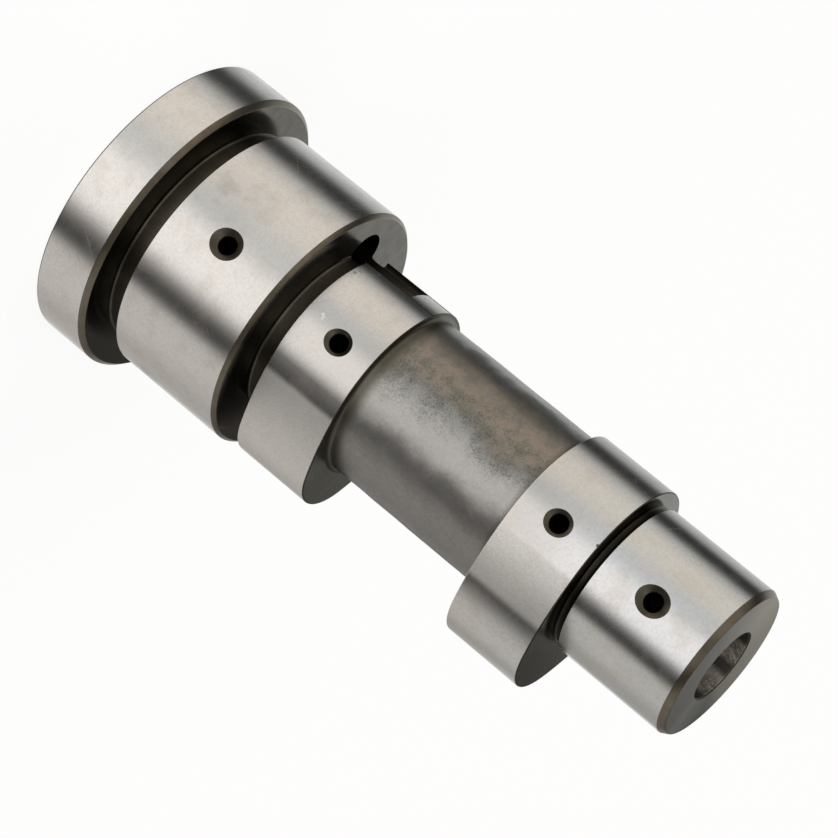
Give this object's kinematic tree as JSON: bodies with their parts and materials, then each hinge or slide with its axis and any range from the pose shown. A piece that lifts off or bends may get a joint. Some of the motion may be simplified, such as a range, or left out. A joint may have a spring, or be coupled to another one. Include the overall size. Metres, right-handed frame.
{
  "type": "camshaft",
  "caption": "Short engine camshaft: round sprocket flange, large and small plain journals, egg-shaped lobes, rough barrel, radial oil holes and an offset decompressor bore.",
  "frame": {"origin": "centre of the flange's sprocket face, on the shaft's axis", "axes": "+Z along the shaft's axis towards the small journal; the radial oil holes look along +Y"},
  "size_m": [0.042, 0.042, 0.0974],
  "materials": {
    "steel": "ground bright on journals, lobes and flange; rough and brown-grey as forged on the barrel; matt turned end face"
  },
  "bodies": {
    "root": {"camshaft": "steel"}
  },
  "joints": []
}
